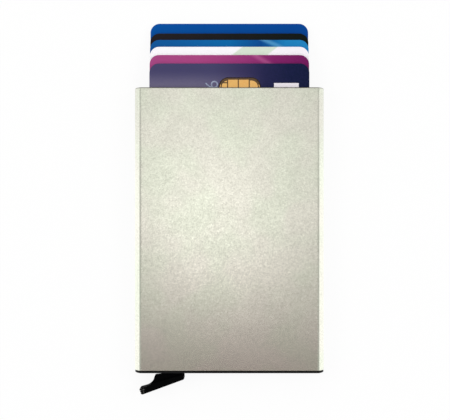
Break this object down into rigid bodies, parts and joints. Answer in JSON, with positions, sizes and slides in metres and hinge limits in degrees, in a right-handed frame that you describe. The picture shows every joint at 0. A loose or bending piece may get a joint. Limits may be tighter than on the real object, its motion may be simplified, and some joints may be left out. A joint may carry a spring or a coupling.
{
  "type": "pop up card holder",
  "caption": "Slim metal tube that holds payment cards, with a thumb lever at its foot that pushes them up in a fan out of its open mouth.",
  "frame": {"origin": "middle of the tube's flat back face", "axes": "+X to the right seen from the front, +Y along the tube towards its mouth, +Z out of the front face"},
  "size_m": [0.0642, 0.1262, 0.0087],
  "materials": {
    "champagne_aluminium": "fine blasted and anodised, pale champagne silver",
    "black_moulding": "black moulded plastic, satin",
    "lever_moulding": "black moulded plastic, satin",
    "pin_steel": "ground steel",
    "grip_felt": "dark grey pressed felt",
    "navy_card": "laminated card, satin, purple-grey fading to dark navy",
    "gilt_contacts": "gilt contact pads",
    "magenta_card": "laminated card, satin",
    "white_card": "laminated card, satin",
    "sky_blue_card": "laminated card, satin",
    "black_card": "laminated card, satin",
    "blue_card": "laminated card, satin"
  },
  "bodies": {
    "holder": {"case_tube": "champagne_aluminium", "bottom_cap": "black_moulding", "pivot_pin": "pin_steel", "left_card_rail": "black_moulding", "right_card_rail": "black_moulding", "left_grip_strip": "grip_felt", "right_grip_strip": "grip_felt"},
    "lever": {"thumb_lever": "lever_moulding"},
    "front_card": {"navy_card": "navy_card", "chip_contacts": "gilt_contacts"},
    "second_card": {"magenta_card": "magenta_card"},
    "third_card": {"white_card": "white_card"},
    "fourth_card": {"sky_blue_card": "sky_blue_card"},
    "fifth_card": {"black_card": "black_card"},
    "back_card": {"blue_card": "blue_card"}
  },
  "joints": [
    {"name": "lever_pivot", "type": "hinge", "parent": "holder", "child": "lever", "pos_m": [-0.0198, -0.0445, 0.00433], "axis": [0, 0, -1], "range_deg": [0, 24]},
    {"name": "front_card_slide", "type": "slide", "parent": "holder", "child": "front_card", "axis": [0, -1, 0], "range_m": [0, 0.00895]},
    {"name": "second_card_slide", "type": "slide", "parent": "holder", "child": "second_card", "axis": [0, -1, 0], "range_m": [0, 0.01196]},
    {"name": "third_card_slide", "type": "slide", "parent": "holder", "child": "third_card", "axis": [0, -1, 0], "range_m": [0, 0.0149]},
    {"name": "fourth_card_slide", "type": "slide", "parent": "holder", "child": "fourth_card", "axis": [0, -1, 0], "range_m": [0, 0.01741]},
    {"name": "fifth_card_slide", "type": "slide", "parent": "holder", "child": "fifth_card", "axis": [0, -1, 0], "range_m": [0, 0.01978]},
    {"name": "back_card_slide", "type": "slide", "parent": "holder", "child": "back_card", "axis": [0, -1, 0], "range_m": [0, 0.0233]}
  ],
  "couplings": [
    {"joint": "front_card_slide", "follows": "lever_pivot", "m_per_rad": 0.02136},
    {"joint": "second_card_slide", "follows": "lever_pivot", "m_per_rad": 0.02855},
    {"joint": "third_card_slide", "follows": "lever_pivot", "m_per_rad": 0.03557},
    {"joint": "fourth_card_slide", "follows": "lever_pivot", "m_per_rad": 0.04156},
    {"joint": "fifth_card_slide", "follows": "lever_pivot", "m_per_rad": 0.04722},
    {"joint": "back_card_slide", "follows": "lever_pivot", "m_per_rad": 0.05562}
  ]
}
